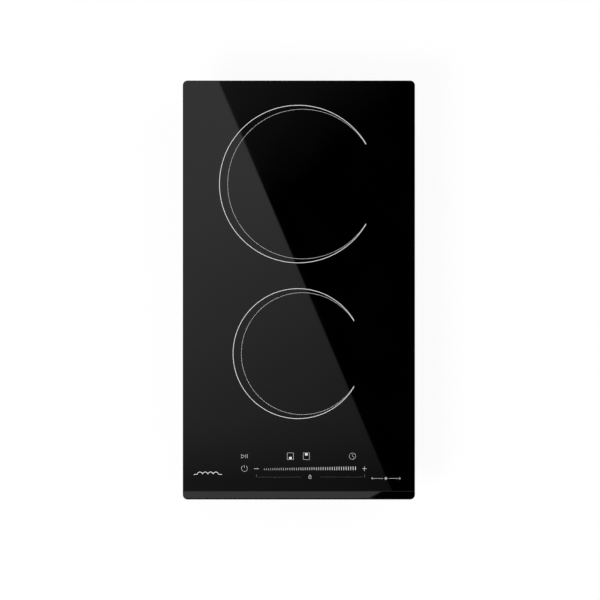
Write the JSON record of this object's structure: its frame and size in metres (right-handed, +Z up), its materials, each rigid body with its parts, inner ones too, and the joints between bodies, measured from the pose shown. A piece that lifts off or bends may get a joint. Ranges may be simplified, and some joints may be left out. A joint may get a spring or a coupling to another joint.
{
  "type": "induction hob",
  "caption": "Narrow built-in induction hob: black glass plate with two cooking zones and a touch field, over a shallow steel tray with coils, fan, power board and terminal box.",
  "frame": {"origin": "centre of the plane that meets the worktop, on the underside of the foam seal", "axes": "+Z up out of the glass, +Y to the rear, away from the controls, +X to the cook's right"},
  "size_m": [0.288, 0.52, 0.06],
  "materials": {
    "black_ceramic_glass": "polished, opaque",
    "seal_foam": "matte",
    "silicone_bead": "matte",
    "galvanised_sheet": "satin",
    "zinc_screw": "satin",
    "spring_steel": "satin",
    "aluminium_sheet": "satin",
    "mica_sheet": "matte",
    "litz_copper": "satin",
    "carrier_plastic": "matte",
    "ferrite": "matte",
    "sensor_ceramic": "matte",
    "lead_sleeve": "matte",
    "fan_plastic": "satin",
    "stator_steel": "satin",
    "bronze": "satin",
    "circuit_board": "satin",
    "heat_sink_aluminium": "satin",
    "package_plastic": "satin",
    "capacitor_case": "satin",
    "can_sleeve": "gloss",
    "choke_winding": "gloss",
    "transformer_ferrite": "matte",
    "connector_plastic": "matte",
    "holder_plastic": "matte",
    "ribbon": "matte",
    "display_plastic": "gloss",
    "box_plastic": "matte",
    "gland_rubber": "matte",
    "lead_pvc": "satin"
  },
  "bodies": {
    "hob": {"glass_top": "black_ceramic_glass", "worktop_gasket": "seal_foam", "glass_adhesive": "silicone_bead", "glass_frame": "galvanised_sheet", "frame_screws": "zinc_screw", "bottom_tray": "galvanised_sheet", "coil_deck": "aluminium_sheet", "deck_screws": "zinc_screw", "guide_studs": "zinc_screw", "fan_frame": "fan_plastic", "fan_bearing": "bronze", "fan_stator": "stator_steel", "power_board": "circuit_board", "board_standoffs": "zinc_screw", "board_screws": "zinc_screw", "heat_sink": "heat_sink_aluminium", "power_transistors": "package_plastic", "bridge_rectifier": "package_plastic", "film_capacitors": "capacitor_case", "electrolytic_capacitors": "can_sleeve", "pulse_transformer": "transformer_ferrite", "input_choke": "choke_winding", "board_connectors": "connector_plastic", "ribbon_cable": "ribbon", "fan_lead": "lead_pvc", "mains_leads": "lead_pvc", "touch_board": "circuit_board", "touch_springs": "spring_steel", "display_modules": "display_plastic", "touch_board_holder": "holder_plastic", "floor_screws": "zinc_screw", "terminal_box": "box_plastic", "terminal_block": "connector_plastic", "terminal_screws": "bronze", "cable_gland": "gland_rubber", "clip_brackets": "galvanised_sheet", "coil_springs_rear": "spring_steel", "sensor_spring_rear": "spring_steel", "coil_leads_rear": "lead_sleeve", "coil_springs_front": "spring_steel", "sensor_spring_front": "spring_steel", "coil_leads_front": "lead_sleeve"},
    "coil_unit_rear": {"mica_rear": "mica_sheet", "winding_rear": "litz_copper", "carrier_rear": "carrier_plastic", "ferrites_rear": "ferrite", "coil_plate_rear": "aluminium_sheet"},
    "glass_sensor_rear": {"sensor_rear": "sensor_ceramic"},
    "coil_unit_front": {"mica_front": "mica_sheet", "winding_front": "litz_copper", "carrier_front": "carrier_plastic", "ferrites_front": "ferrite", "coil_plate_front": "aluminium_sheet"},
    "glass_sensor_front": {"sensor_front": "sensor_ceramic"},
    "rotor": {"fan_rotor": "fan_plastic"},
    "lid": {"terminal_lid": "box_plastic"},
    "clip_right_rear": {"side_clip_right_rear": "spring_steel"},
    "clip_right_front": {"side_clip_right_front": "spring_steel"},
    "clip_left_rear": {"side_clip_left_rear": "spring_steel"},
    "clip_left_front": {"side_clip_left_front": "spring_steel"}
  },
  "joints": [
    {"name": "coil_press_rear", "type": "slide", "parent": "hob", "child": "coil_unit_rear", "axis": [0, 0, 1], "range_m": [-0.003, 0], "stiffness_N_per_m": 1500, "springref_m": 0.006, "deforming": ["coil_springs_rear", "coil_leads_rear"]},
    {"name": "sensor_press_rear", "type": "slide", "parent": "hob", "child": "glass_sensor_rear", "axis": [0, 0, 1], "range_m": [-0.002, 0], "stiffness_N_per_m": 150, "springref_m": 0.004, "deforming": ["sensor_spring_rear"]},
    {"name": "coil_press_front", "type": "slide", "parent": "hob", "child": "coil_unit_front", "axis": [0, 0, 1], "range_m": [-0.003, 0], "stiffness_N_per_m": 1500, "springref_m": 0.006, "deforming": ["coil_springs_front", "coil_leads_front"]},
    {"name": "sensor_press_front", "type": "slide", "parent": "hob", "child": "glass_sensor_front", "axis": [0, 0, 1], "range_m": [-0.002, 0], "stiffness_N_per_m": 150, "springref_m": 0.004, "deforming": ["sensor_spring_front"]},
    {"name": "fan_spin", "type": "hinge", "parent": "hob", "child": "rotor", "pos_m": [0.06, 0.165, -0.04], "axis": [0, 0, 1], "continuous": true},
    {"name": "lid_hinge", "type": "hinge", "parent": "hob", "child": "lid", "pos_m": [-0.065, 0.1911, -0.0519], "axis": [-1, 0, 0], "range_deg": [0, 100]},
    {"name": "clip_bend_right_rear", "type": "hinge", "parent": "hob", "child": "clip_right_rear", "pos_m": [0.133, 0.14, -0.038], "axis": [0, -1, 0], "range_deg": [0, 7], "stiffness_Nm_per_rad": 3.4, "springref_deg": -1.72},
    {"name": "clip_bend_right_front", "type": "hinge", "parent": "hob", "child": "clip_right_front", "pos_m": [0.133, -0.14, -0.038], "axis": [0, -1, 0], "range_deg": [0, 7], "stiffness_Nm_per_rad": 3.4, "springref_deg": -1.72},
    {"name": "clip_bend_left_rear", "type": "hinge", "parent": "hob", "child": "clip_left_rear", "pos_m": [-0.133, 0.14, -0.038], "axis": [0, 1, 0], "range_deg": [0, 7], "stiffness_Nm_per_rad": 3.4, "springref_deg": -1.72},
    {"name": "clip_bend_left_front", "type": "hinge", "parent": "hob", "child": "clip_left_front", "pos_m": [-0.133, -0.14, -0.038], "axis": [0, 1, 0], "range_deg": [0, 7], "stiffness_Nm_per_rad": 3.4, "springref_deg": -1.72}
  ]
}
